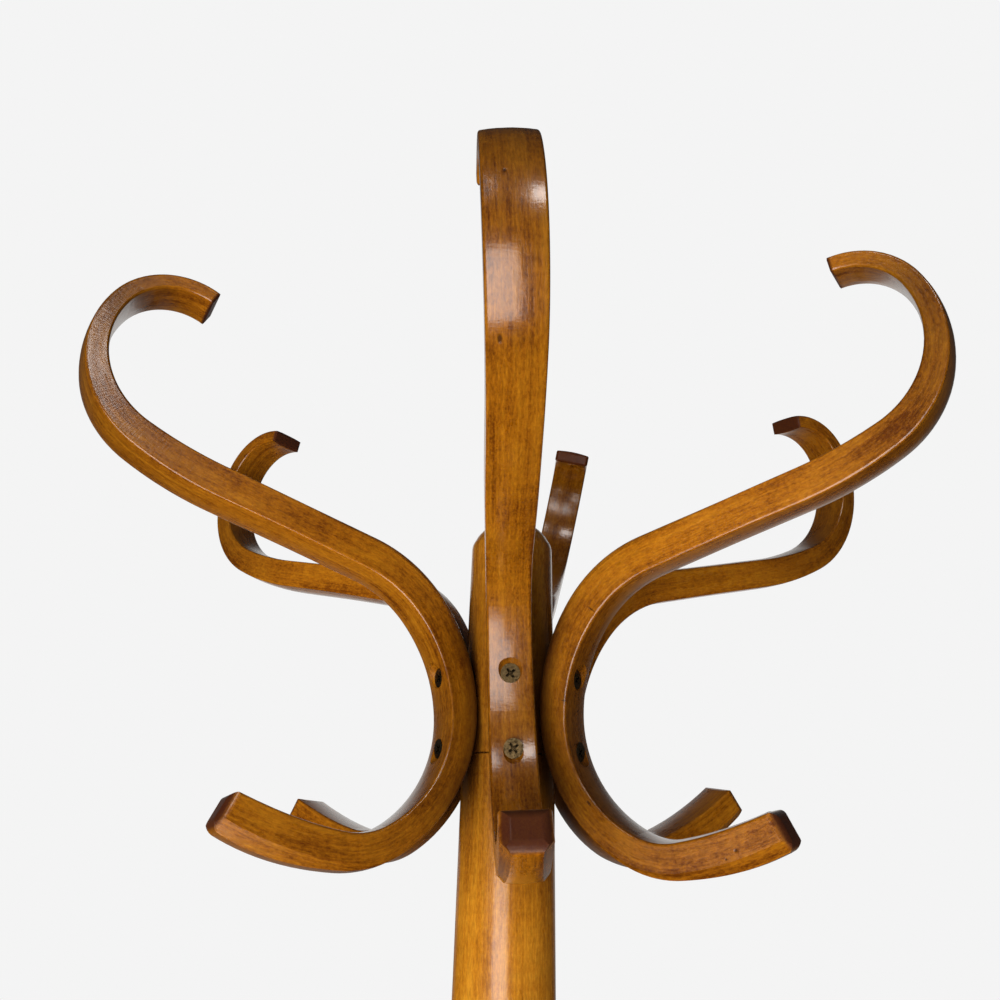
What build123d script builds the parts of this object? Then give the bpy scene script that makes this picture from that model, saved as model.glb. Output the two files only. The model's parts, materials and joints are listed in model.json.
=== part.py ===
from build123d import *
import math
import os

# Standing coat rack of the bentwood kind. A turned post carries six steam-bent double hooks
# at its head and stands on four steam-bent legs, whose upper ends hold an umbrella ring.
# Millimetres, +Z up. The origin is on the floor, on the post's axis, and -Y is the front.

# ---- Post
HOOK_LEVEL = 1706.0  # midway between the two screws of every hook
POST_FOOT_LEVEL = 62.0  # underside of the post above the floor
POST_FOOT_RADIUS = 23.0
POST_LEG_RADIUS = 24.0  # where the legs are screwed on
POST_BELLY_RADIUS = 25.0
POST_BELLY_LEVEL = 900.0
POST_NECK_RADIUS = 24.7  # below the hooks
POST_NECK_BELOW_HOOKS = 138.0
POST_HOOK_RADIUS = 23.0
POST_HEAD_RADIUS = 21.2  # where the dome begins
POST_TOP_ABOVE_HOOKS = 103.5
DOME_HEIGHT = 17.0
DOME_EDGE_RADIUS = 9.0  # the dome is a broad round cap with this rounding at its rim
POST_FOOT_CHAMFER = 3.0
SCRIBED_RING_BELOW_HOOKS = 18.5
SCRIBED_RING_DEPTH = 0.5
SCRIBED_RING_WIDTH = 1.0

# ---- Hooks: bent strips with slightly crowned broad faces and eased long edges
HOOK_TOE_WIDTH = 21.4
HOOK_SEAT_WIDTH = 22.2
HOOK_ARM_WIDTH = 22.6
HOOK_OUTER_WIDTH = 23.2
HOOK_TIP_WIDTH = 23.4
HOOK_CROWN = 0.9
HOOK_EDGE = 1.2
HOOK_TOE_THICKNESS = 18.6
HOOK_SOLE_THICKNESS = 17.6
HOOK_SEAT_THICKNESS = 15.6
HOOK_ARM_THICKNESS = 17.6
HOOK_SHOULDER_THICKNESS = 15.8
HOOK_OUTER_THICKNESS = 12.6
HOOK_CURL_THICKNESS = 10.0
HOOK_TIP_THICKNESS = 8.8
BEDDING = 0.6  # how deep a strip's back is hollowed to fit the round it is screwed to
TIP_ROUNDING = 2.0
TOE_ROUNDING = 5.0
TOE_PARING = 4.8  # legs of the flats pared off the two lower corners, at the toe's end
TOE_BEND_PARING = 3.0  # the same where the toe's bend begins
SOLE_BEND_PARING = 1.5  # and where the sole's bend begins; from there on they fade out

# A hook's centre line as bends of (radius, degrees), upwards and downwards from its seat
SEAT_BEND = (86.0, 37.5)
LIFT_BEND = (66.0, 36.5)
ARM_LENGTH = 79.5
SHOULDER_BEND = (183.0, 13.5)
OUTER_BEND = (49.5, 92.5)
CURL_BEND = (33.0, 77.0)
HEEL_BEND = (69.0, 62.0)
SOLE_BEND = (38.5, 39.5)
TOE_BEND = (153.0, 19.0)

# Steam-bent strips spring back unevenly, and each is screwed on a little out of true. For each
# hook: azimuth round the post from the front, sideways lean, what is added to its lift, curl,
# sole and toe bends, all in degrees, and how far its screw heads are sunk, in millimetres
HOOKS = {
    "hook_front": (2.0, 3.3, -1.2, 1.0, 1.5, -5.0, 0.1),
    "hook_front_right": (60.9, 4.4, -1.0, -8.5, -3.5, 0.0, 0.9),
    "hook_rear_right": (119.6, 5.0, 3.2, -0.5, 8.0, 1.5, 0.5),
    "hook_rear": (179.2, 11.3, -3.5, 0.0, 0.0, 0.5, 0.5),
    "hook_rear_left": (235.7, 3.7, 4.8, -1.0, -2.0, 0.0, 0.5),
    "hook_front_left": (298.0, 6.2, -2.3, 9.0, -4.5, 2.5, 0.9),
}

# ---- Countersunk wood screws with a cross recess
HOOK_SCREW_RISE = 17.5  # half the distance between the two screws of a hook
HOOK_SCREW_LENGTH = 30.0
BASE_SCREW_SINK = 0.5  # heads of the leg and ring screws below the face, on the screw's axis
LEG_SCREW_SPACING = 60.0
LEG_SCREW_LENGTH = 38.0
RING_SCREW_LENGTH = 22.0
SCREW_SHANK = 2.5
SCREW_HEAD = 4.7
SCREW_RIM = 0.3
SCREW_POINT = 5.0
SCREW_CLEARANCE = 0.1
RECESS_SPAN = 5.2
RECESS_SLOT = 1.25
RECESS_TURN = 35.0  # how far the cross stands turned from the strip's length
RECESS_DEPTH = 1.9
RECESS_DRAFT = 6.0
COUNTERSINK_FLARE = 2.0  # how far the countersink's cone runs past the head

# ---- Legs
LEG_AZIMUTHS = {
    "front_right": 45.0,
    "rear_right": 135.0,
    "rear_left": 225.0,
    "front_left": 315.0,
}
LEG_WIDTH = 28.0
LEG_THICKNESS = 20.0
LEG_CROWN = 1.0
LEG_EDGE = 2.2
LEG_SEAT_LENGTH = 100.0
LEG_ARM_BEND = (110.0, 55.0)
LEG_ARM_LENGTH = 80.0
LEG_TOP_BEND = (75.0, 55.0)
LEG_TOP_LENGTH = 30.0
LEG_FOOT_BEND = (150.0, 60.0)
LEG_SHIN_LENGTH = 140.0
LEG_SOLE_BEND = (110.0, 38.0)
LEG_TOE_LENGTH = 20.0
LEG_END_ROUNDING = 3.0
SOLE_FLAT_DEPTH = 1.4  # planed off the sole where a glide sits
SOLE_FLAT_LENGTH = 44.0

# ---- Umbrella ring
RING_THICKNESS = 9.0
RING_HEIGHT = 24.0
RING_CROWN = 0.7
RING_EDGE = 1.8
RING_BELOW_LEG_TOP = 20.0

# ---- Foot glides and their nails
GLIDE_RADIUS = 11.0
GLIDE_HEIGHT = 5.0
GLIDE_EDGE = 1.2
NAIL_HEAD_RADIUS = 2.6
NAIL_HEAD_HEIGHT = 1.0
NAIL_SHANK_RADIUS = 1.1
NAIL_LENGTH = 16.0
NAIL_RECESS_DEPTH = 1.8

# ---- Derived places
dome_centre_reach = POST_HEAD_RADIUS - DOME_EDGE_RADIUS
dome_radius = (dome_centre_reach**2 + DOME_HEIGHT**2 - DOME_EDGE_RADIUS**2) / (
    2 * (DOME_HEIGHT - DOME_EDGE_RADIUS)
)
dome_rim_turn = math.degrees(math.atan2(dome_radius - DOME_HEIGHT, dome_centre_reach))
hook_seat = POST_HOOK_RADIUS + HOOK_SEAT_THICKNESS / 2 - BEDDING
leg_seat = POST_LEG_RADIUS + LEG_THICKNESS / 2 - BEDDING
shin_slope = math.radians(90.0 - LEG_FOOT_BEND[1])
leg_drop = (
    LEG_FOOT_BEND[0] * math.cos(shin_slope)
    + LEG_SHIN_LENGTH * math.sin(shin_slope)
    + LEG_SOLE_BEND[0] * (1 - math.cos(shin_slope))
)
leg_seat_low = GLIDE_HEIGHT - SOLE_FLAT_DEPTH + LEG_THICKNESS / 2 + leg_drop
leg_seat_middle = leg_seat_low + LEG_SEAT_LENGTH / 2
glide_reach = (
    leg_seat
    + LEG_FOOT_BEND[0] * (1 - math.sin(shin_slope))
    + LEG_SHIN_LENGTH * math.cos(shin_slope)
    + LEG_SOLE_BEND[0] * math.sin(shin_slope)
)
arm_slope = math.radians(LEG_ARM_BEND[1])
leg_top_reach = (
    leg_seat
    + (LEG_ARM_BEND[0] + LEG_TOP_BEND[0]) * (1 - math.cos(arm_slope))
    + LEG_ARM_LENGTH * math.sin(arm_slope)
)
leg_top = (
    leg_seat_low
    + LEG_SEAT_LENGTH
    + (LEG_ARM_BEND[0] + LEG_TOP_BEND[0]) * math.sin(arm_slope)
    + LEG_ARM_LENGTH * math.cos(arm_slope)
    + LEG_TOP_LENGTH
)
ring_level = leg_top - RING_BELOW_LEG_TOP
ring_outer = leg_top_reach - LEG_THICKNESS / 2 + BEDDING
ring_inner = ring_outer - RING_THICKNESS


def radial_plane(azimuth, level, lean=0.0):
    """Plane through the post's axis: local x points outward, local y up, tipped by the lean."""
    turn = math.radians(azimuth)
    tilt = math.radians(lean)
    outward = Vector(math.sin(turn), -math.cos(turn), 0)
    sideways = Vector(math.cos(turn), math.sin(turn), 0)
    upward = Vector(0, 0, 1) * math.cos(tilt) - sideways * math.sin(tilt)
    return Plane(origin=(0, 0, level), x_dir=outward, z_dir=outward.cross(upward))


def bar_section(plane, width, thickness, crown, edge, paring=0.0):
    """Section of a strip: crowned broad faces, flat sides and eased corners.

    Paring turns the two corners on the plane's lower side into flats.
    """
    side = width / 2
    face = thickness / 2
    with BuildSketch(plane) as section:
        with BuildLine():
            ThreePointArc((-side, face - crown), (0, face), (side, face - crown))
            Line((side, face - crown), (side, crown - face))
            ThreePointArc((side, crown - face), (0, -face), (-side, crown - face))
            Line((-side, crown - face), (-side, face - crown))
        make_face()
        if paring:
            chamfer(section.vertices().group_by(Axis.Y)[0], paring)
            fillet(section.vertices().group_by(Axis.Y)[-1], edge)
        else:
            fillet(section.vertices(), edge)
    return section.sketch


def sweep_strip(path, stations, side, crown, edge):
    """Sweep a strip along its centre line through the width, thickness and paring given."""
    sections = []
    for point, along, width, thickness, paring in stations:
        across = Plane(origin=point, x_dir=side, z_dir=along)
        sections.append(bar_section(across, width, thickness, crown, edge, paring))
    sweep(sections, path=path, multisection=True)


def round_end(end, outward, side, thickness, width, radius):
    """Round the end of a strip over its broad faces and over its sides."""
    for axis, size in ((side, thickness), (outward.cross(side), width)):
        with BuildSketch(Plane(origin=end, x_dir=outward, z_dir=axis)) as waste:
            Rectangle(2 * radius, 2 * size)
            with Locations((-size, 0)):
                RectangleRounded(2 * size, size, radius, mode=Mode.SUBTRACT)
        extrude(waste.sketch, amount=width, both=True, mode=Mode.SUBTRACT)


def drive_screw(seat, length):
    """Countersunk cross-recess wood screw; its head's top is on the seat plane."""
    neck = SCREW_RIM + SCREW_HEAD - SCREW_SHANK
    with BuildSketch(Plane(origin=seat.origin, x_dir=seat.x_dir, z_dir=-seat.y_dir)) as profile:
        with BuildLine():
            Polyline(
                (0, 0),
                (SCREW_HEAD, 0),
                (SCREW_HEAD, -SCREW_RIM),
                (SCREW_SHANK, -neck),
                (SCREW_SHANK, SCREW_POINT - length),
                (0, -length),
                close=True,
            )
        make_face()
    revolve(profile.sketch, axis=Axis(seat.origin, seat.z_dir))
    with BuildSketch(seat) as recess:
        Rectangle(RECESS_SPAN, RECESS_SLOT, rotation=RECESS_TURN)
        Rectangle(RECESS_SLOT, RECESS_SPAN, rotation=RECESS_TURN)
    extrude(recess.sketch, amount=-RECESS_DEPTH, taper=RECESS_DRAFT, mode=Mode.SUBTRACT)


def countersink(seat, length):
    """Countersunk clearance hole for a screw whose head's top is on the seat plane."""
    with Locations(seat.offset(COUNTERSINK_FLARE)):
        CounterSinkHole(
            radius=SCREW_SHANK + SCREW_CLEARANCE,
            counter_sink_radius=SCREW_HEAD + SCREW_RIM + SCREW_CLEARANCE + COUNTERSINK_FLARE,
            depth=length + COUNTERSINK_FLARE,
            counter_sink_angle=90,
        )


def hook_screw_seats(plane, sink):
    """Head planes of a hook's two screws, which both run straight towards the post's axis."""
    seats = []
    for bend, height in ((SEAT_BEND, HOOK_SCREW_RISE), (HEEL_BEND, -HOOK_SCREW_RISE)):
        face_radius = bend[0] - HOOK_SEAT_THICKNESS / 2
        reach = hook_seat + bend[0] - math.sqrt(face_radius**2 - height**2)
        head = plane.from_local_coords((reach - sink, height, 0))
        seats.append(Plane(origin=head, x_dir=plane.y_dir, z_dir=plane.x_dir))
    return seats


def leg_screw_seats(plane):
    """Head planes of a leg's two screws, on the outer face of its upright seat."""
    seats = []
    for height in (-LEG_SCREW_SPACING / 2, LEG_SCREW_SPACING / 2):
        head = plane.from_local_coords((leg_seat + LEG_THICKNESS / 2 - BASE_SCREW_SINK, height, 0))
        seats.append(Plane(origin=head, x_dir=plane.y_dir, z_dir=plane.x_dir))
    return seats


def ring_screw_seat(azimuth):
    """Head plane of the screw that holds the ring to one leg, on the ring's inner face."""
    plane = radial_plane(azimuth, ring_level)
    head = plane.from_local_coords((ring_inner + BASE_SCREW_SINK, 0, 0))
    return Plane(origin=head, x_dir=plane.y_dir, z_dir=-plane.x_dir)


def make_hook(azimuth, lean, lift, curl, sole, toe, sink):
    """One S-shaped double hook, drawn in its own leaned radial plane."""
    plane = radial_plane(azimuth, HOOK_LEVEL, lean)
    side = plane.z_dir
    with BuildPart() as hook:
        with BuildLine(plane) as upper:
            rise = JernArc((hook_seat, 0), (0, 1), SEAT_BEND[0], -SEAT_BEND[1])
            lifted = JernArc(rise @ 1, rise % 1, LIFT_BEND[0], -LIFT_BEND[1] - lift)
            arm = Line(lifted @ 1, lifted @ 1 + (lifted % 1) * ARM_LENGTH)
            shoulder = JernArc(arm @ 1, arm % 1, *SHOULDER_BEND)
            outer = JernArc(shoulder @ 1, shoulder % 1, *OUTER_BEND)
            tip = JernArc(outer @ 1, outer % 1, CURL_BEND[0], CURL_BEND[1] + curl)
        with BuildLine(plane) as lower:
            heel = JernArc((hook_seat, 0), (0, -1), *HEEL_BEND)
            under = JernArc(heel @ 1, heel % 1, SOLE_BEND[0], SOLE_BEND[1] + sole)
            end = JernArc(under @ 1, under % 1, TOE_BEND[0], TOE_BEND[1] + toe)
        stations = [
            (end @ 1, -(end % 1), HOOK_TOE_WIDTH, HOOK_TOE_THICKNESS, TOE_PARING),
            (end @ 0, -(end % 0), HOOK_TOE_WIDTH, HOOK_SOLE_THICKNESS, TOE_BEND_PARING),
            (under @ 0, -(under % 0), HOOK_SEAT_WIDTH, HOOK_SEAT_THICKNESS, SOLE_BEND_PARING),
            (rise @ 0, rise % 0, HOOK_SEAT_WIDTH, HOOK_SEAT_THICKNESS, 0.0),
            (arm @ 0.5, arm % 0.5, HOOK_ARM_WIDTH, HOOK_ARM_THICKNESS, 0.0),
            (outer @ 0, outer % 0, HOOK_ARM_WIDTH, HOOK_SHOULDER_THICKNESS, 0.0),
            (outer @ 0.5, outer % 0.5, HOOK_OUTER_WIDTH, HOOK_OUTER_THICKNESS, 0.0),
            (outer @ 1, outer % 1, HOOK_OUTER_WIDTH, HOOK_CURL_THICKNESS, 0.0),
            (tip @ 1, tip % 1, HOOK_TIP_WIDTH, HOOK_TIP_THICKNESS, 0.0),
        ]
        path = Wire(lower.edges() + upper.edges())
        sweep_strip(path, stations, side, HOOK_CROWN, HOOK_EDGE)
        round_end(end @ 1, end % 1, side, HOOK_TOE_THICKNESS, HOOK_TOE_WIDTH, TOE_ROUNDING)
        round_end(tip @ 1, tip % 1, side, HOOK_TIP_THICKNESS, HOOK_TIP_WIDTH, TIP_ROUNDING)
        for seat in hook_screw_seats(plane, sink):
            countersink(seat, HOOK_SCREW_LENGTH)
        add(post_blank.part, mode=Mode.SUBTRACT)
    return hook.part


def make_leg(azimuth):
    """One leg: an upright seat on the post, an arm up to the ring and a foot on the floor."""
    plane = radial_plane(azimuth, leg_seat_middle)
    side = plane.z_dir
    half = LEG_SEAT_LENGTH / 2
    with BuildPart() as leg:
        with BuildLine(plane) as line:
            seat = Line((leg_seat, -half), (leg_seat, half))
            arm_bend = JernArc(seat @ 1, seat % 1, LEG_ARM_BEND[0], -LEG_ARM_BEND[1])
            arm = Line(arm_bend @ 1, arm_bend @ 1 + (arm_bend % 1) * LEG_ARM_LENGTH)
            top_bend = JernArc(arm @ 1, arm % 1, *LEG_TOP_BEND)
            top = Line(top_bend @ 1, top_bend @ 1 + (top_bend % 1) * LEG_TOP_LENGTH)
            foot_bend = JernArc(seat @ 0, -(seat % 0), *LEG_FOOT_BEND)
            shin = Line(foot_bend @ 1, foot_bend @ 1 + (foot_bend % 1) * LEG_SHIN_LENGTH)
            sole_bend = JernArc(shin @ 1, shin % 1, *LEG_SOLE_BEND)
            toe = Line(sole_bend @ 1, sole_bend @ 1 + (sole_bend % 1) * LEG_TOE_LENGTH)
        stations = [
            (top @ 1, top % 1, LEG_WIDTH, LEG_THICKNESS, 0.0),
            (toe @ 1, -(toe % 1), LEG_WIDTH, LEG_THICKNESS, 0.0),
        ]
        sweep_strip(Wire(line.edges()), stations, side, LEG_CROWN, LEG_EDGE)
        for end in (top, toe):
            round_end(end @ 1, end % 1, side, LEG_THICKNESS, LEG_WIDTH, LEG_END_ROUNDING)
        for screw_seat in leg_screw_seats(plane):
            countersink(screw_seat, LEG_SCREW_LENGTH)
        floor_centre = radial_plane(azimuth, 0).from_local_coords((glide_reach, 0, 0))
        with BuildSketch(Plane(origin=floor_centre, x_dir=plane.x_dir)) as planed:
            Rectangle(SOLE_FLAT_LENGTH, LEG_WIDTH + LEG_THICKNESS)
        extrude(planed.sketch, amount=GLIDE_HEIGHT, mode=Mode.SUBTRACT)
        add(post_blank.part, mode=Mode.SUBTRACT)
        add(ring_blank.part, mode=Mode.SUBTRACT)
        add(ring_screws.part, mode=Mode.SUBTRACT)
        add(glide_nails.part, mode=Mode.SUBTRACT)
    return leg.part


# ---- Turned post before its screw holes are made
with BuildPart() as post_blank:
    with BuildSketch(Plane.XZ):
        with BuildLine():
            foot = Polyline(
                (0, POST_FOOT_LEVEL),
                (POST_FOOT_RADIUS - POST_FOOT_CHAMFER, POST_FOOT_LEVEL),
                (POST_FOOT_RADIUS, POST_FOOT_LEVEL + POST_FOOT_CHAMFER),
                (POST_LEG_RADIUS, leg_seat_low),
                (POST_LEG_RADIUS, leg_seat_low + LEG_SEAT_LENGTH),
            )
            shaft = Polyline(
                foot @ 1,
                (POST_BELLY_RADIUS, POST_BELLY_LEVEL),
                (POST_NECK_RADIUS, HOOK_LEVEL - POST_NECK_BELOW_HOOKS),
                (POST_HOOK_RADIUS, HOOK_LEVEL),
                (POST_HEAD_RADIUS, HOOK_LEVEL + POST_TOP_ABOVE_HOOKS - DOME_HEIGHT),
            )
            rim = JernArc(shaft @ 1, (0, 1), DOME_EDGE_RADIUS, dome_rim_turn)
            dome = JernArc(rim @ 1, rim % 1, dome_radius, 90 - dome_rim_turn)
            Line(dome @ 1, foot @ 0)
        make_face()
    revolve(axis=Axis.Z)
    with BuildSketch(Plane.XZ):
        with BuildLine():
            ring_mark = HOOK_LEVEL - SCRIBED_RING_BELOW_HOOKS
            mouth = POST_HOOK_RADIUS + 2 * SCRIBED_RING_DEPTH
            bottom = POST_HOOK_RADIUS - SCRIBED_RING_DEPTH
            Polyline(
                (bottom, ring_mark),
                (mouth, ring_mark - SCRIBED_RING_WIDTH),
                (mouth, ring_mark + SCRIBED_RING_WIDTH),
                close=True,
            )
        make_face()
    revolve(axis=Axis.Z, mode=Mode.SUBTRACT)

# ---- Umbrella ring before its screw holes are made
with BuildPart() as ring_blank:
    ring_section = Plane(
        origin=((ring_inner + ring_outer) / 2, 0, ring_level), x_dir=(0, 0, 1), z_dir=(0, -1, 0)
    )
    section = bar_section(ring_section, RING_HEIGHT, RING_THICKNESS, RING_CROWN, RING_EDGE)
    revolve(section, axis=Axis.Z)

# ---- Screws
hook_screws = {}
for hook_name, (azimuth, lean, *_, sink) in HOOKS.items():
    with BuildPart() as screws:
        for seat in hook_screw_seats(radial_plane(azimuth, HOOK_LEVEL, lean), sink):
            drive_screw(seat, HOOK_SCREW_LENGTH)
    hook_screws[hook_name + "_screws"] = screws.part

leg_screws = {}
for leg_name, azimuth in LEG_AZIMUTHS.items():
    with BuildPart() as screws:
        for seat in leg_screw_seats(radial_plane(azimuth, leg_seat_middle)):
            drive_screw(seat, LEG_SCREW_LENGTH)
    leg_screws["leg_" + leg_name + "_screws"] = screws.part

with BuildPart() as ring_screws:
    for azimuth in LEG_AZIMUTHS.values():
        drive_screw(ring_screw_seat(azimuth), RING_SCREW_LENGTH)

# ---- Foot glides and their nails
glide_centres = {}
for leg_name, azimuth in LEG_AZIMUTHS.items():
    glide_centres[leg_name] = radial_plane(azimuth, 0).from_local_coords((glide_reach, 0, 0))

with BuildPart() as glide_nails:
    for centre in glide_centres.values():
        nail_base = Plane(origin=centre).offset(NAIL_RECESS_DEPTH - NAIL_HEAD_HEIGHT)
        with BuildSketch(nail_base):
            Circle(NAIL_HEAD_RADIUS)
        extrude(amount=NAIL_HEAD_HEIGHT)
        with BuildSketch(nail_base):
            Circle(NAIL_SHANK_RADIUS)
        extrude(amount=NAIL_LENGTH)

glides = {}
for leg_name, centre in glide_centres.items():
    with BuildPart() as glide:
        with BuildSketch(Plane(origin=centre)):
            Circle(GLIDE_RADIUS)
        extrude(amount=GLIDE_HEIGHT)
        fillet(glide.edges().group_by(Axis.Z)[0], GLIDE_EDGE)
        with Locations(Plane(origin=centre, z_dir=(0, 0, -1))):
            CounterBoreHole(NAIL_SHANK_RADIUS, NAIL_HEAD_RADIUS + SCREW_CLEARANCE, NAIL_RECESS_DEPTH)
    glides["glide_" + leg_name] = glide.part

# ---- Finished post, ring, hooks and legs
with BuildPart() as post:
    add(post_blank.part)
    for screws in (*hook_screws.values(), *leg_screws.values()):
        add(screws, mode=Mode.SUBTRACT)

with BuildPart() as umbrella_ring:
    add(ring_blank.part)
    for azimuth in LEG_AZIMUTHS.values():
        countersink(ring_screw_seat(azimuth), RING_SCREW_LENGTH)

pieces = {"post": post.part, "umbrella_ring": umbrella_ring.part}
pieces.update({name: make_hook(*bends) for name, bends in HOOKS.items()})
pieces.update({"leg_" + name: make_leg(azimuth) for name, azimuth in LEG_AZIMUTHS.items()})
pieces.update(hook_screws)
pieces.update(leg_screws)
pieces.update(glides)
pieces.update({"ring_screws": ring_screws.part, "glide_nails": glide_nails.part})

os.makedirs("parts", exist_ok=True)
for name, piece in pieces.items():
    piece.label = name
    export_step(piece, f"parts/{name}.step")
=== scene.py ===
import json
import math

import bpy
import numpy as np
from mathutils import Matrix, Vector


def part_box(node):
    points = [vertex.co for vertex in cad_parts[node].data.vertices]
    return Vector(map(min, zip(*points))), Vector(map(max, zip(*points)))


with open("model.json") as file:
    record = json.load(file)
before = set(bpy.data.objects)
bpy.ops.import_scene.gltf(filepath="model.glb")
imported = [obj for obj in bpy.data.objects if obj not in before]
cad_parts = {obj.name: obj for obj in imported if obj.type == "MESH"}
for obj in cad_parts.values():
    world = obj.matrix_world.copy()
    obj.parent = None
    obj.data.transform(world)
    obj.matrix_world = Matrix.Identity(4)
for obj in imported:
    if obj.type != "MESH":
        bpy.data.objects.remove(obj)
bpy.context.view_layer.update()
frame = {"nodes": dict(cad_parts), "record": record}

# Standing coat rack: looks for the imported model. Metres, +Z up, -Y is the front.

nodes = frame["nodes"]

# ---- The strips' centre lines, as in the CAD source: bends are (radius, degrees). The hooks'
# values are a fit of their outline to the photograph's, rounded
HOOK_LEVEL = 1.706
HOOK_SEAT = 0.0302
SEAT_BEND = (0.086, -37.5)
LIFT_BEND = (0.066, -36.5)
ARM_LENGTH = 0.0795
SHOULDER_BEND = (0.183, 13.5)
OUTER_BEND = (0.0495, 92.5)
CURL_BEND = (0.033, 77.0)
HEEL_BEND = (0.069, 62.0)
SOLE_BEND = (0.0385, 39.5)
TOE_BEND = (0.153, 19.0)
# azimuth, sideways lean, and what is added to the lift, curl, sole and toe bends, from the fit
HOOKS = {
    "hook_front": (2.0, 3.3, -1.2, 1.0, 1.5, -5.0),
    "hook_front_right": (60.9, 4.4, -1.0, -8.5, -3.5, 0.0),
    "hook_rear_right": (119.6, 5.0, 3.2, -0.5, 8.0, 1.5),
    "hook_rear": (179.2, 11.3, -3.5, 0.0, 0.0, 0.5),
    "hook_rear_left": (235.7, 3.7, 4.8, -1.0, -2.0, 0.0),
    "hook_front_left": (298.0, 6.2, -2.3, 9.0, -4.5, 2.5),
}
LEG_AZIMUTHS = {
    "leg_front_right": 45.0,
    "leg_rear_right": 135.0,
    "leg_rear_left": 225.0,
    "leg_front_left": 315.0,
}
LEG_SEAT_LENGTH = 0.100
LEG_SEAT = 0.0334
LEG_ARM_BEND = (0.110, -55.0)
LEG_ARM_LENGTH = 0.080
LEG_TOP_BEND = (0.075, 55.0)
LEG_TOP_LENGTH = 0.030
LEG_FOOT_BEND = (0.150, 60.0)
LEG_SHIN_LENGTH = 0.140
LEG_SOLE_BEND = (0.110, 38.0)
LEG_TOE_LENGTH = 0.020
STEP = 0.001  # spacing of the points sampled along a centre line
CHUNK = 4000  # vertices compared with a centre line at a time
SEAT_ALONG = 0.152  # from a hook's toe to the middle of its seat

# What is added to the grain's coordinates, so that no two pieces are cut from the same wood
HOOK_SEED_STEP = 1.7
LEG_SEED_FIRST = 12.0
LEG_SEED_STEP = 1.9
POST_CUT = (0.11, -0.05)
FAR_FROM_ENDS = 1.0  # the reach of pieces whose ends carry no end grain


def follow(start, heading, pieces):
    """Points along a chain of straight runs (a length) and bends (radius, degrees left)."""
    points = [np.array(start, float)]
    angle = math.radians(heading)
    for piece in pieces:
        if isinstance(piece, tuple):
            radius, turn = piece[0], math.radians(piece[1])
        else:
            radius, turn = None, 0.0
        length = piece if radius is None else radius * abs(turn)
        count = max(2, round(length / STEP))
        for _ in range(count):
            middle = angle + turn / count / 2
            chord = length / count
            points.append(points[-1] + chord * np.array([math.cos(middle), math.sin(middle)]))
            angle += turn / count
    return np.array(points)


def radial_frame(azimuth, lean=0.0):
    """Outward, upward and sideways directions of a strip's own plane."""
    turn, tilt = math.radians(azimuth), math.radians(lean)
    outward = np.array([math.sin(turn), -math.cos(turn), 0.0])
    sideways = np.array([math.cos(turn), math.sin(turn), 0.0])
    upward = np.array([0.0, 0.0, 1.0]) * math.cos(tilt) - sideways * math.sin(tilt)
    return outward, upward, np.cross(outward, upward)


def vertices(name):
    mesh = nodes[name].data
    co = np.empty(len(mesh.vertices) * 3)
    mesh.vertices.foreach_get("co", co)
    return co.reshape(-1, 3)


def write(name, attribute, values):
    layer = nodes[name].data.attributes.new(attribute, "FLOAT_VECTOR", "POINT")
    layer.data.foreach_set("vector", values.astype(np.float32).ravel())


def seed_of(name):
    """What is added along a hook's grain."""
    return HOOK_SEED_STEP * (list(HOOKS).index(name) + 1)


def grain_of_strip(name, line, level, axes, seed):
    """Where each vertex is in the strip, and how far it is from the strip's two ends."""
    outward, upward, side = axes
    local = vertices(name) - np.array([0.0, 0.0, level])
    flat = np.stack([local @ outward, local @ upward], axis=1)
    tangent = np.gradient(line, axis=0)
    tangent /= np.linalg.norm(tangent, axis=1)[:, None]
    travelled = np.concatenate([[0.0], np.cumsum(np.linalg.norm(np.diff(line, axis=0), axis=1))])
    nearest = np.empty(len(flat), int)
    for first in range(0, len(flat), CHUNK):
        chunk = flat[first : first + CHUNK]
        gap = ((chunk[:, None, :] - line[None, :, :]) ** 2).sum(axis=2)
        nearest[first : first + CHUNK] = gap.argmin(axis=1)
    away = flat - line[nearest]
    along = travelled[nearest] + (away * tangent[nearest]).sum(axis=1)
    normal = np.stack([-tangent[nearest][:, 1], tangent[nearest][:, 0]], axis=1)
    depth = (away * normal).sum(axis=1)
    across = local @ side
    write(name, "grain", np.stack([along + seed, across, depth], axis=1))
    from_tip = travelled[-1] - along
    write(name, "reach", np.stack([along, from_tip, np.zeros(len(along))], axis=1))


for name, (azimuth, lean, lift, curl, sole, toe) in HOOKS.items():
    upper = follow(
        (HOOK_SEAT, 0.0),
        90.0,
        [
            SEAT_BEND,
            (LIFT_BEND[0], LIFT_BEND[1] - lift),
            ARM_LENGTH,
            SHOULDER_BEND,
            OUTER_BEND,
            (CURL_BEND[0], CURL_BEND[1] + curl),
        ],
    )
    lower = follow(
        (HOOK_SEAT, 0.0),
        -90.0,
        [HEEL_BEND, (SOLE_BEND[0], SOLE_BEND[1] + sole), (TOE_BEND[0], TOE_BEND[1] + toe)],
    )
    line = np.concatenate([lower[::-1], upper[1:]])
    grain_of_strip(name, line, HOOK_LEVEL, radial_frame(azimuth, lean), seed_of(name))

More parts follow.
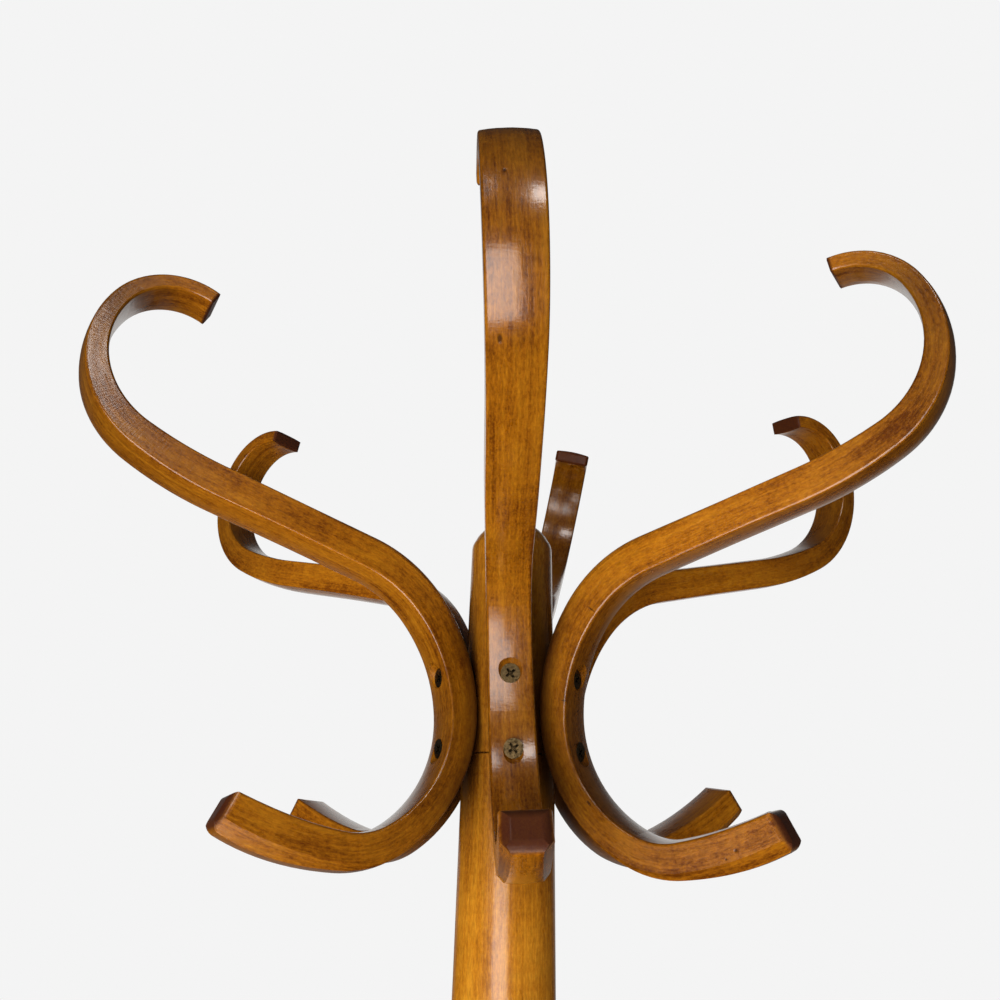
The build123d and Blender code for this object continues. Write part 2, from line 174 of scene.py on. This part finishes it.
for number, (name, azimuth) in enumerate(LEG_AZIMUTHS.items()):
    half = LEG_SEAT_LENGTH / 2
    upper = follow(
        (LEG_SEAT, half), 90.0, [LEG_ARM_BEND, LEG_ARM_LENGTH, LEG_TOP_BEND, LEG_TOP_LENGTH]
    )
    lower = follow(
        (LEG_SEAT, -half), -90.0, [LEG_FOOT_BEND, LEG_SHIN_LENGTH, LEG_SOLE_BEND, LEG_TOE_LENGTH]
    )
    seat = follow((LEG_SEAT, -half), 90.0, [LEG_SEAT_LENGTH])
    line = np.concatenate([lower[::-1], seat[1:], upper[1:]])
    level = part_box(name)[1].z - line[:, 1].max()
    seed = LEG_SEED_FIRST + LEG_SEED_STEP * number
    grain_of_strip(name, line, level, radial_frame(azimuth), seed)

ring = vertices("umbrella_ring")
from_axis = np.hypot(ring[:, 0], ring[:, 1])
ring_radius = (from_axis.max() + from_axis.min()) / 2
turned = np.arctan2(ring[:, 1], ring[:, 0]) * ring_radius
write("umbrella_ring", "grain", np.stack([turned, ring[:, 2], from_axis], axis=1))
write("umbrella_ring", "reach", np.full((len(ring), 3), FAR_FROM_ENDS))

post = vertices("post")
post_grain = [post[:, 2], post[:, 0] + POST_CUT[0], post[:, 1] + POST_CUT[1]]
write("post", "grain", np.stack(post_grain, axis=1))
write("post", "reach", np.full((len(post), 3), FAR_FROM_ENDS))


# ---- Materials
class Graph:
    """Short calls for making a material's nodes."""

    def __init__(self, name):
        self.material = bpy.data.materials.new(name)
        self.material.use_nodes = True
        self.tree = self.material.node_tree
        self.shader = self.tree.nodes["Principled BSDF"]

    def node(self, kind, **settings):
        made = self.tree.nodes.new(kind)
        for key, value in settings.items():
            setattr(made, key, value)
        return made

    def link(self, source, target):
        self.tree.links.new(source, target)

    def feed(self, socket, value):
        if isinstance(value, bpy.types.NodeSocket):
            self.link(value, socket)
        else:
            socket.default_value = value

    def attribute(self, name):
        return self.node("ShaderNodeAttribute", attribute_name=name).outputs["Vector"]

    def math(self, operation, a, b=0.0):
        made = self.node("ShaderNodeMath", operation=operation)
        self.feed(made.inputs[0], a)
        self.feed(made.inputs[1], b)
        return made.outputs[0]

    def part(self, vector, axis):
        made = self.node("ShaderNodeSeparateXYZ")
        self.link(vector, made.inputs[0])
        return made.outputs[axis]

    def noise(self, vector, scale, detail=2.0, roughness=0.5, distortion=0.0):
        stretch = self.node("ShaderNodeMapping")
        self.link(vector, stretch.inputs["Vector"])
        stretch.inputs["Scale"].default_value = scale
        made = self.node("ShaderNodeTexNoise")
        self.link(stretch.outputs[0], made.inputs["Vector"])
        made.inputs["Scale"].default_value = 1.0
        made.inputs["Detail"].default_value = detail
        made.inputs["Roughness"].default_value = roughness
        made.inputs["Distortion"].default_value = distortion
        return made.outputs[0]

    def span(self, value, low, high, to_low=0.0, to_high=1.0, smooth=False):
        made = self.node("ShaderNodeMapRange", clamp=True)
        if smooth:
            made.interpolation_type = "SMOOTHSTEP"
        self.feed(made.inputs["Value"], value)
        made.inputs["From Min"].default_value = low
        made.inputs["From Max"].default_value = high
        made.inputs["To Min"].default_value = to_low
        made.inputs["To Max"].default_value = to_high
        return made.outputs[0]

    def mix(self, factor, a, b, kind="MIX"):
        made = self.node("ShaderNodeMix", data_type="RGBA", blend_type=kind)
        self.feed(made.inputs[0], factor)
        self.feed(made.inputs[6], a)
        self.feed(made.inputs[7], b)
        return made.outputs[2]

    def ramp(self, value, stops):
        made = self.node("ShaderNodeValToRGB")
        self.feed(made.inputs[0], value)
        elements = made.color_ramp.elements
        while len(elements) < len(stops):
            elements.new(0.5)
        for element, (place, colour) in zip(elements, stops):
            element.position = place
            element.color = (*colour, 1.0)
        return made.outputs[0]

    def bump(self, height, distance, strength=1.0, normal=None):
        made = self.node("ShaderNodeBump")
        self.link(height, made.inputs["Height"])
        made.inputs["Distance"].default_value = distance
        made.inputs["Strength"].default_value = strength
        if normal is not None:
            self.link(normal, made.inputs["Normal"])
        return made.outputs[0]

    def set(self, **values):
        for key, value in values.items():
            self.feed(self.shader.inputs[key.replace("_", " ")], value)


# Tone along a strip: how far from the toe, as a share of the span, and how much of the tone is
# left. Its values are the brightness seen on the front hooks of the photograph; it makes the
# strips darker beside the seat and round the curl. Set by hand to the brightness seen on the
# front hooks of the photograph, so it may be stain or that photograph's light
TONE_ALONG_SPAN = 0.5
TONE_ALONG = [
    (0.0, 0.82),
    (0.12, 0.68),
    (0.21, 0.52),
    (0.31, 0.52),
    (0.42, 0.78),
    (0.52, 1.0),
    (0.65, 0.98),
    (0.80, 0.56),
    (0.90, 0.42),
    (0.97, 0.95),
]

# Knots and drying cracks: strip, how far from the toe, across, through, and the three radii
MARKS = [
    ("hook_front", (0.3643, 0.0062, -0.0070), (0.0022, 0.0013, 0.0040)),
    ("hook_front", (0.4183, 0.0030, -0.0062), (0.0012, 0.0009, 0.0030)),
    ("hook_front_right", (0.0233, 0.0112, 0.0005), (0.0014, 0.0030, 0.0010)),
    ("hook_front_right", (0.0288, 0.0112, 0.0028), (0.0008, 0.0030, 0.0007)),
    ("hook_front_right", (0.1573, 0.0112, -0.0062), (0.0004, 0.0030, 0.0022)),
    ("hook_front_right", (0.2073, 0.0112, -0.0050), (0.0005, 0.0030, 0.0034)),
    ("hook_front_right", (0.1033, 0.0112, -0.0040), (0.0020, 0.0030, 0.0008)),
]


def knots(g, grain):
    """How deep a point lies in one of the marks."""
    depth = None
    for strip, (along, across, through), radii in MARKS:
        centre = (along + seed_of(strip), across, through)
        local = g.node("ShaderNodeMapping")
        g.link(grain, local.inputs["Vector"])
        local.inputs["Location"].default_value = [-c / r for c, r in zip(centre, radii)]
        local.inputs["Scale"].default_value = [1.0 / r for r in radii]
        away = g.node("ShaderNodeVectorMath", operation="LENGTH")
        g.link(local.outputs[0], away.inputs[0])
        mark = g.span(away.outputs["Value"], 0.35, 1.0, 1.0, 0.0, smooth=True)
        depth = mark if depth is None else g.math("MAXIMUM", depth, mark)
    return depth


# The wood's noises: scale along, across and through the piece, and how each is broken up
GRAIN_LAYERS = {
    "rings": dict(scale=(7.0, 430.0, 60.0), detail=3.0, roughness=0.6, distortion=0.3),
    "clouds": dict(scale=(26.0, 70.0, 80.0), detail=4.0, roughness=0.66),
    "figure": dict(scale=(260.0, 60.0, 60.0), detail=2.0, roughness=0.5, distortion=0.6),
    "lines": dict(scale=(12.0, 560.0, 560.0), detail=2.0, roughness=0.7),
    "flecks": dict(scale=(230.0, 1250.0, 1250.0), detail=1.0, roughness=0.6),
    "mottle": dict(scale=(520.0, 1000.0, 1000.0), detail=2.0, roughness=0.8),
    "ripple": dict(scale=(1100.0, 260.0, 260.0), detail=1.0),
    "waves": dict(scale=(45.0, 120.0, 120.0), detail=1.0),
}
NOISE_SPAN = (0.3, 0.7)  # most of a noise's values lie in here
# How much of the tone comes from a layer as it is, and what others add over NOISE_SPAN
TONE_SHARES = {"rings": 0.30, "clouds": 0.52}
TONE_SPANS = {"figure": (0.06, 0.12), "lines": (-0.07, 0.07), "mottle": (-0.085, 0.085)}
TONE_STOPS = (0.33, 0.49, 0.66)  # where the dark, middle and light colours are
FLECK_SPAN = (0.30, 0.62, 0.80, 1.10)
TOE_REACH = (0.0010, 0.0034)  # end grain fades out between these distances from the toe
TIP_REACH = (0.0006, 0.0022)
END_SHARE = 0.93
END_COLOUR = (0.050, 0.0075, 0.0006, 1.0)
END_DULLNESS = 0.6
# Painted shade and grime beside a hook's seat on the post side, and on the post where other wood
# lies close: where they reach, how they fade and their colour
SEAT_SHADE_AND_GRIME = (0.030, 0.062, 0.9, 0.0)  # along a hook, away from the middle of its seat
BACK_SHADE_AND_GRIME = (-0.003, 0.009, 0.0, 1.0)  # through a hook, towards the post
JOINT_SHADE_AND_GRIME = (0.25, 0.95, 0.93, 0.0)
JOINT_REACH = 0.045
SHADE_AND_GRIME_COLOUR = (0.016, 0.003, 0.0015, 1.0)
MARK_SHARE = 0.8
MARK_COLOUR = (0.020, 0.004, 0.001, 1.0)
MARK_DEPTH = 3.0
WOOD_ROUGHNESS = (0.24, 0.32)
COAT_WEIGHT = 0.62
COAT_LOST_ON_ENDS = 0.55
FINE_RELIEF = 0.00006
COAT_RELIEF = 0.00003
WAVE_RELIEF = 0.0006


def shade_and_grime_by_joint(g):
    """How much a point is darkened with painted shade and grime for lying close to other wood."""
    near = g.node("ShaderNodeAmbientOcclusion", samples=6)
    near.inputs["Distance"].default_value = JOINT_REACH
    return g.span(near.outputs["AO"], *JOINT_SHADE_AND_GRIME)


def shade_and_grime_by_seat(g, grain, reach):
    """How much a point of a hook is darkened with painted shade and grime for lying close to the
    middle of its seat, on the side of the post.
    """
    beside = g.math("ABSOLUTE", g.math("SUBTRACT", g.part(reach, 0), SEAT_ALONG))
    along = g.span(beside, *SEAT_SHADE_AND_GRIME, smooth=True)
    return g.math("MULTIPLY", along, g.span(g.part(grain, 2), *BACK_SHADE_AND_GRIME, smooth=True))


def beech(name, dark, middle, light, joint=False):
    """Steam-bent beech, stained and lacquered; joint paints shade and grime on what lies close to
    other wood, else beside a hook's seat on the post side.
    """
    g = Graph(name)
    grain = g.attribute("grain")
    reach = g.attribute("reach")
    layer = {kind: g.noise(grain, **values) for kind, values in GRAIN_LAYERS.items()}

    rings, clouds = (g.math("MULTIPLY", layer[kind], share) for kind, share in TONE_SHARES.items())
    tone = g.math("ADD", rings, clouds)
    for kind, added in TONE_SPANS.items():
        tone = g.math("ADD", tone, g.span(layer[kind], *NOISE_SPAN, *added))
    colour = g.ramp(tone, list(zip(TONE_STOPS, (dark, middle, light))))
    colour = g.mix(1.0, colour, g.span(layer["flecks"], *FLECK_SPAN), "MULTIPLY")

    toe = g.span(g.part(reach, 0), *TOE_REACH, 1.0, 0.0, smooth=True)
    tip = g.span(g.part(reach, 1), *TIP_REACH, 1.0, 0.0, smooth=True)
    end = g.math("MULTIPLY", g.math("MAXIMUM", toe, tip), END_SHARE)
    colour = g.mix(end, colour, END_COLOUR)
    # Tone along the strip, darker beside the seat and round the curl
    along = g.span(g.part(reach, 0), 0.0, TONE_ALONG_SPAN)
    colour = g.mix(1.0, colour, g.ramp(along, [(p, (t, t, t)) for p, t in TONE_ALONG]), "MULTIPLY")
    # Painted shade and grime: the post darkens where other wood lies close, the other pieces beside
    # a hook's seat on the post side
    shade_and_grime = shade_and_grime_by_joint(g) if joint else shade_and_grime_by_seat(g, grain, reach)
    colour = g.mix(shade_and_grime, colour, SHADE_AND_GRIME_COLOUR)
    mark = knots(g, grain)
    colour = g.mix(g.math("MULTIPLY", mark, MARK_SHARE), colour, MARK_COLOUR)

    rough = g.span(layer["clouds"], *NOISE_SPAN, *WOOD_ROUGHNESS)
    relief = g.math("ADD", layer["flecks"], g.math("MULTIPLY", layer["mottle"], 0.6))
    relief = g.math("ADD", relief, layer["lines"])
    relief = g.math("SUBTRACT", relief, g.math("MULTIPLY", mark, MARK_DEPTH))
    relief = g.math("ADD", relief, g.math("MULTIPLY", layer["ripple"], 0.7))
    g.set(
        Base_Color=colour,
        Roughness=g.math("ADD", rough, g.math("MULTIPLY", end, END_DULLNESS)),
        Normal=g.bump(relief, FINE_RELIEF),
        Specular_IOR_Level=0.16,
        Coat_Weight=g.math("SUBTRACT", COAT_WEIGHT, g.math("MULTIPLY", end, COAT_LOST_ON_ENDS)),
        Coat_Roughness=0.17,
        Coat_IOR=1.45,
    )
    wavy = g.bump(layer["waves"], WAVE_RELIEF, 0.3)
    g.link(g.bump(layer["ripple"], COAT_RELIEF, 1.0, wavy), g.shader.inputs["Coat Normal"])
    return g.material


def brass(name):
    g = Graph(name)
    place = g.node("ShaderNodeTexCoord").outputs["Object"]
    stain = g.noise(place, (700.0, 700.0, 700.0), detail=4.0, roughness=0.6)
    colour = g.ramp(stain, [(0.35, (0.040, 0.026, 0.012)), (0.6, (0.19, 0.125, 0.055))])
    crevice = g.node("ShaderNodeAmbientOcclusion", samples=8, only_local=True)
    crevice.inputs["Distance"].default_value = 0.0015
    dark = g.span(crevice.outputs["AO"], 0.35, 0.9, 0.08, 1.0)
    colour = g.mix(1.0, colour, dark, "MULTIPLY")
    rough = g.span(stain, 0.3, 0.7, 0.5, 0.26)
    g.set(Base_Color=colour, Metallic=1.0, Roughness=rough)
    g.set(Normal=g.bump(stain, 0.00005, 0.6))
    return g.material


def plain(name, colour, roughness, metallic=0.0):
    g = Graph(name)
    place = g.node("ShaderNodeTexCoord").outputs["Object"]
    cast = g.noise(place, (260.0, 260.0, 260.0), detail=4.0)
    scuff = g.noise(place, (60.0, 60.0, 60.0), detail=3.0)
    shade = g.span(scuff, 0.3, 0.7, 0.75, 1.2)
    g.set(
        Base_Color=g.mix(1.0, (*colour, 1.0), shade, "MULTIPLY"),
        Metallic=metallic,
        Roughness=g.span(scuff, 0.3, 0.7, roughness - 0.1, roughness + 0.15),
        Normal=g.bump(cast, 0.00008, 0.5),
    )
    return g.material


wood = beech(
    "lacquered_beech",
    dark=(0.14, 0.034, 0.0012),
    middle=(0.33, 0.105, 0.0032),
    light=(0.46, 0.168, 0.0058),
)
post_wood = beech(
    "lacquered_beech_post",
    dark=(0.24, 0.072, 0.003),
    middle=(0.41, 0.148, 0.007),
    light=(0.52, 0.215, 0.013),
    joint=True,
)
screw_brass = brass("antique_brass")
glide_plastic = plain("dark_plastic", (0.035, 0.028, 0.022), 0.5)
nail_steel = plain("nail_steel", (0.45, 0.45, 0.44), 0.35, 1.0)

by_slot = {
    "lacquered_beech": wood,
    "antique_brass": screw_brass,
    "dark_plastic": glide_plastic,
    "nail_steel": nail_steel,
}
for part in frame["record"]["subparts"]:
    node = nodes[part["node"]]
    material = post_wood if part["node"] == "post" else by_slot[part["material_slot"]]
    node.data.materials.clear()
    node.data.materials.append(material)

# ---- Stage
FLOOR_REACH = 9.0
FLOOR_CORNERS = ((-1, -1), (1, -1), (1, 1), (-1, 1))
floor_mesh = bpy.data.meshes.new("floor")
corners = [(x * FLOOR_REACH, y * FLOOR_REACH, 0) for x, y in FLOOR_CORNERS]
floor_mesh.from_pydata(corners, [], [(0, 1, 2, 3)])
floor = bpy.data.objects.new("floor", floor_mesh)
bpy.context.scene.collection.objects.link(floor)
pale = Graph("pale_floor")
pale.set(Base_Color=(0.62, 0.615, 0.61, 1.0), Roughness=0.8, Specular_IOR_Level=0.1)
pale.set(Emission_Color=(1.0, 0.995, 0.985, 1.0), Emission_Strength=0.46)
floor_mesh.materials.append(pale.material)
# The floor's own glow keeps it pale far from the lamps and stays off the rack
floor.visible_glossy = False
floor.visible_diffuse = False

world = bpy.data.worlds.new("studio")
bpy.context.scene.world = world
world.use_nodes = True
tree = world.node_tree
tree.nodes.clear()


def world_node(kind, **settings):
    made = tree.nodes.new(kind)
    for key, value in settings.items():
        setattr(made, key, value)
    return made


direction = world_node("ShaderNodeTexCoord").outputs["Generated"]
split = world_node("ShaderNodeSeparateXYZ")
tree.links.new(direction, split.inputs[0])
path = world_node("ShaderNodeLightPath")


def spread(axis, low, high, to_low, to_high):
    made = world_node("ShaderNodeMapRange", clamp=True, interpolation_type="SMOOTHSTEP")
    tree.links.new(split.outputs[axis], made.inputs["Value"])
    made.inputs["From Min"].default_value = low
    made.inputs["From Max"].default_value = high
    made.inputs["To Min"].default_value = to_low
    made.inputs["To Max"].default_value = to_high
    return made.outputs[0]


def times(a, b):
    made = world_node("ShaderNodeMath", operation="MULTIPLY")
    tree.links.new(a, made.inputs[0])
    tree.links.new(b, made.inputs[1])
    return made.outputs[0]


def background(colour, strength):
    made = world_node("ShaderNodeBackground")
    made.inputs["Color"].default_value = (*colour, 1.0)
    if isinstance(strength, float):
        made.inputs["Strength"].default_value = strength
    else:
        tree.links.new(strength, made.inputs["Strength"])
    return made.outputs[0]


def choose(test, no, yes):
    made = world_node("ShaderNodeMixShader")
    tree.links.new(path.outputs[test], made.inputs[0])
    tree.links.new(no, made.inputs[1])
    tree.links.new(yes, made.inputs[2])
    return made.outputs[0]


WARM = (1.0, 0.985, 0.96)
seen = background((0.905, 0.905, 0.905), 1.0)
behind = spread("Y", 0.74, 0.96, 0.03, 0.85)
above = spread("Z", -0.15, 0.1, 0.2, 1.0)
reflected = background(WARM, times(behind, above))
soft = background(WARM, spread("Y", -0.2, 0.6, 0.06, 0.27))
output = world_node("ShaderNodeOutputWorld")
unseen = choose("Is Glossy Ray", soft, reflected)
tree.links.new(choose("Is Camera Ray", unseen, seen), output.inputs[0])


def softbox(name, azimuth, elevation, distance, size, power, target, lit, mirrored):
    """Area light aimed at a target; the azimuth is counted from the front, towards +X."""
    lamp = bpy.data.lights.new(name, "AREA")
    lamp.shape = "RECTANGLE"
    lamp.size, lamp.size_y = size
    lamp.energy = power
    lamp.color = (1.0, 0.98, 0.95)
    holder = bpy.data.objects.new(name, lamp)
    bpy.context.scene.collection.objects.link(holder)
    turn, rise = math.radians(azimuth), math.radians(elevation)
    flat = math.cos(rise)
    away = Vector((math.sin(turn) * flat, -math.cos(turn) * flat, math.sin(rise)))
    holder.location = Vector(target) + distance * away
    holder.rotation_mode = "QUATERNION"
    holder.rotation_quaternion = (-away).to_track_quat("-Z", "Y")
    holder.visible_camera = False
    holder.visible_diffuse = lit
    holder.visible_glossy = mirrored


CROWN = (0.0, 0.0, 1.75)
FOOT = (0.0, 0.0, 0.3)
# name, azimuth, elevation, distance, size, power, target, whether it lights, whether it is mirrored
LAMPS = [
    ("key", -22.0, -18.0, 1.8, (1.5, 1.5), 47.0, CROWN, True, False),
    ("sheen_low", -11.0, -31.0, 1.8, (1.1, 1.8), 50.0, CROWN, False, True),
    ("sheen_left", -19.0, 38.0, 1.6, (0.26, 0.4), 4.0, CROWN, False, True),
    ("sheen_right", 17.0, 34.0, 1.6, (0.22, 0.3), 5.0, CROWN, False, True),
    ("top", 60.0, 75.0, 1.6, (1.0, 1.0), 1.5, CROWN, True, False),
    ("back", 185.0, 30.0, 2.2, (1.6, 1.0), 10.0, CROWN, True, False),
    ("foot_left", -50.0, 40.0, 1.3, (0.9, 0.7), 9.0, FOOT, True, False),
    ("foot_right", 60.0, 40.0, 1.3, (0.9, 0.7), 6.0, FOOT, True, False),
    ("foot_back", 180.0, 45.0, 1.4, (0.9, 0.7), 7.0, FOOT, True, False),
]
for lamp_row in LAMPS:
    softbox(*lamp_row)

# ---- Camera at the photograph's viewing angle, found by a search on the overlap of outlines
YAW, PITCH, ROLL = math.radians(-0.75), math.radians(16.81), math.radians(1.26)
CAMERA_PLACE = (0.00007, -0.53466, 1.66006)
SENSOR_WIDTH = 36.0  # millimetres, like the focal length
FOCAL_LENGTH = 37.14
forward = Vector(
    (math.sin(YAW) * math.cos(PITCH), math.cos(YAW) * math.cos(PITCH), math.sin(PITCH))
)
level_right = Vector((math.cos(YAW), -math.sin(YAW), 0.0))
level_up = level_right.cross(forward)
right = level_right * math.cos(ROLL) + level_up * math.sin(ROLL)
up = level_up * math.cos(ROLL) - level_right * math.sin(ROLL)
lens = bpy.data.cameras.new("camera")
lens.sensor_width = SENSOR_WIDTH
lens.lens = FOCAL_LENGTH
lens.clip_start = 0.02
camera = bpy.data.objects.new("camera", lens)
bpy.context.scene.collection.objects.link(camera)
camera.matrix_world = Matrix(
    (
        (right.x, up.x, -forward.x, CAMERA_PLACE[0]),
        (right.y, up.y, -forward.y, CAMERA_PLACE[1]),
        (right.z, up.z, -forward.z, CAMERA_PLACE[2]),
        (0.0, 0.0, 0.0, 1.0),
    )
)
bpy.context.scene.camera = camera
bpy.context.scene.view_settings.view_transform = "Standard"
